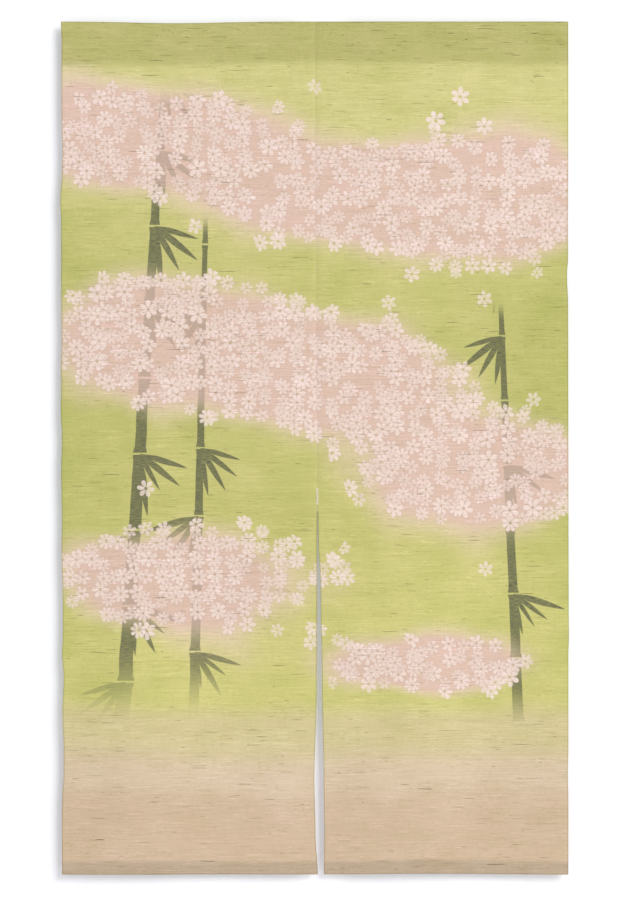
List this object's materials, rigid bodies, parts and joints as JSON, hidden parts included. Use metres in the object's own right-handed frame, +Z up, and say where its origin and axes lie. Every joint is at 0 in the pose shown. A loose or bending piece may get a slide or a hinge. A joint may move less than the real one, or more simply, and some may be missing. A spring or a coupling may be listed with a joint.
{
  "type": "noren curtain",
  "caption": "Split door curtain of slubby printed hemp: loom widths sewn side by side, an open rod-pocket heading, a centre slit and a turned-up hem, hanging nearly flat.",
  "frame": {"origin": "middle of the top fold of the rod pocket, in the middle of the front ply's thickness, where a rod carries the cloth", "axes": "+Z up, +X to the right as seen from the printed front, +Y to the back; the printed front faces -Y"},
  "size_m": [0.8831, 0.016, 1.482],
  "materials": {
    "hemp_cloth": "matt slubby plain-weave hemp, yellow-green ground fading to beige, printed in pale pink, off-white and slate"
  },
  "bodies": {
    "root": {"heading_left": "hemp_cloth", "heading_right": "hemp_cloth", "panel_left": "hemp_cloth", "panel_right": "hemp_cloth"}
  },
  "joints": []
}
